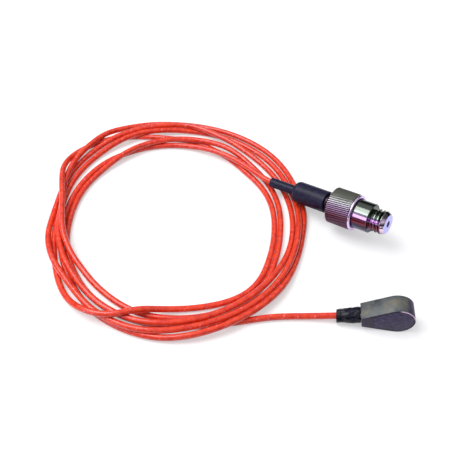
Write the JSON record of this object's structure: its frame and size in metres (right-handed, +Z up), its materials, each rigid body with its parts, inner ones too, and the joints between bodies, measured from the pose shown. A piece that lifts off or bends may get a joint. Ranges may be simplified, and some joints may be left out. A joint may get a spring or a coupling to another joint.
{
  "type": "cabled vibration sensor",
  "caption": "Miniature teardrop vibration sensor with a fixed thin coaxial cable in a loose coil, ending in a small knurled screw coupling with a threaded adaptor.",
  "frame": {"origin": "on the table under the middle of the sensor head with its boot", "axes": "+X along the head towards its round end, -Y out of the mounting face, +Z up"},
  "size_m": [0.0764, 0.068, 0.0097],
  "materials": {
    "housing": "grey green, matt, a little worn",
    "base_metal": "dark satin metal",
    "crystal": "pale opaque ceramic",
    "heavy_metal": "dark heavy metal",
    "ring_metal": "plain satin metal",
    "board": "green board",
    "chip": "black",
    "resistor": "pale ceramic",
    "gold": "gold plated",
    "white_insulation": "white, slightly waxy",
    "boot": "blue black, crumpled, glossy",
    "cable_jacket": "orange red, shiny, lightly ribbed by its lapped tape",
    "shrink_sleeve": "navy black, satin",
    "nickel": "nickel plated, bright",
    "washer": "dark grey"
  },
  "bodies": {
    "sensor_and_cable": {"sensor_housing": "housing", "mounting_base": "base_metal", "shear_post": "base_metal", "crystal_ring": "crystal", "seismic_mass": "heavy_metal", "preload_ring": "ring_metal", "amplifier_board": "board", "amplifier_chip": "chip", "bias_resistor": "resistor", "core_terminal": "gold", "cable_ferrule": "ring_metal", "dielectric_tail": "white_insulation", "core_wire": "gold", "strain_relief_boot": "boot", "sensor_lead": "cable_jacket", "cable_coil": "cable_jacket", "connector_lead": "cable_jacket", "cable_tail": "cable_jacket", "cable_sleeve": "shrink_sleeve", "ferrule_sleeve": "shrink_sleeve", "crimp_ferrule": "nickel", "plug_body": "nickel", "plug_insulator": "white_insulation", "plug_pin": "gold", "sealing_washer": "washer"},
    "nut": {"coupling_nut": "nickel"},
    "adaptor": {"adaptor_body": "nickel", "adaptor_rear_bead": "white_insulation", "adaptor_front_bead": "white_insulation", "adaptor_contact": "gold"}
  },
  "joints": [
    {"name": "nut_turn", "type": "hinge", "parent": "sensor_and_cable", "child": "nut", "pos_m": [-0.00517, 0.02377, 0.00552], "axis": [-0.8358, 0.5263, -0.1564], "range_deg": [0, 1445]},
    {"name": "adaptor_travel", "type": "slide", "parent": "sensor_and_cable", "child": "adaptor", "axis": [0.8358, -0.5263, 0.1564], "range_m": [0, 0.00317]}
  ],
  "couplings": [
    {"joint": "nut_turn", "follows": "adaptor_travel", "rad_per_m": 7915.8}
  ]
}
